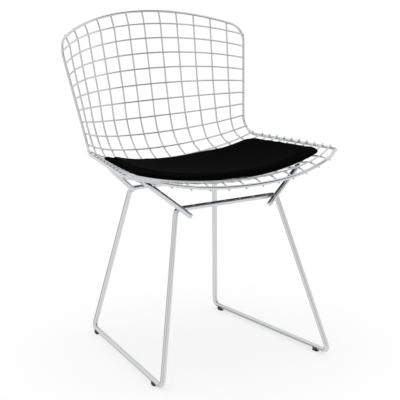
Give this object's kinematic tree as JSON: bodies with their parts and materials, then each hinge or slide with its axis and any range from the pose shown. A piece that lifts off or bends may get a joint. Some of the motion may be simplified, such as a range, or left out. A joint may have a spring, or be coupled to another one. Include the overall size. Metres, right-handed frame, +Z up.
{
  "type": "wire mesh chair",
  "caption": "Wire mesh dining chair: a curved bucket seat and back of crossed, welded steel wires inside a rim, on a steel rod base with runners, with a thin dished seat pad.",
  "frame": {"origin": "on the floor, below the middle of the chair's width and depth", "axes": "+Z up, -Y towards the front that a sitter faces, +X to the right of someone who looks along +Y, which is the sitter's left"},
  "size_m": [0.5536, 0.5685, 0.7619],
  "materials": {
    "chromed_steel": "bright chrome plate over steel wire and rod",
    "pad_fabric": "near-black smooth woven fabric over foam",
    "glide_plastic": "black matt moulded plastic"
  },
  "bodies": {
    "root": {"back_rim": "chromed_steel", "cross_wire_01": "chromed_steel", "cross_wire_02": "chromed_steel", "cross_wire_03": "chromed_steel", "cross_wire_04": "chromed_steel", "cross_wire_05": "chromed_steel", "cross_wire_06": "chromed_steel", "cross_wire_07": "chromed_steel", "cross_wire_08": "chromed_steel", "cross_wire_09": "chromed_steel", "cross_wire_10": "chromed_steel", "cross_wire_11": "chromed_steel", "cross_wire_12": "chromed_steel", "cross_wire_13": "chromed_steel", "cross_wire_14": "chromed_steel", "cross_wire_15": "chromed_steel", "cross_wire_16": "chromed_steel", "cross_wire_17": "chromed_steel", "cross_wire_18": "chromed_steel", "cross_wire_19": "chromed_steel", "cross_wire_20": "chromed_steel", "front_frame_rod": "chromed_steel", "front_glide_left": "glide_plastic", "front_glide_right": "glide_plastic", "long_wire_left_1": "chromed_steel", "long_wire_left_2": "chromed_steel", "long_wire_left_3": "chromed_steel", "long_wire_left_4": "chromed_steel", "long_wire_left_5": "chromed_steel", "long_wire_left_6": "chromed_steel", "long_wire_right_1": "chromed_steel", "long_wire_right_2": "chromed_steel", "long_wire_right_3": "chromed_steel", "long_wire_right_4": "chromed_steel", "long_wire_right_5": "chromed_steel", "long_wire_right_6": "chromed_steel", "rear_frame_rod": "chromed_steel", "rear_glide_left": "glide_plastic", "rear_glide_right": "glide_plastic", "seat_pad": "pad_fabric", "seat_rim": "chromed_steel", "support_rod_left": "chromed_steel", "support_rod_right": "chromed_steel"}
  },
  "joints": []
}
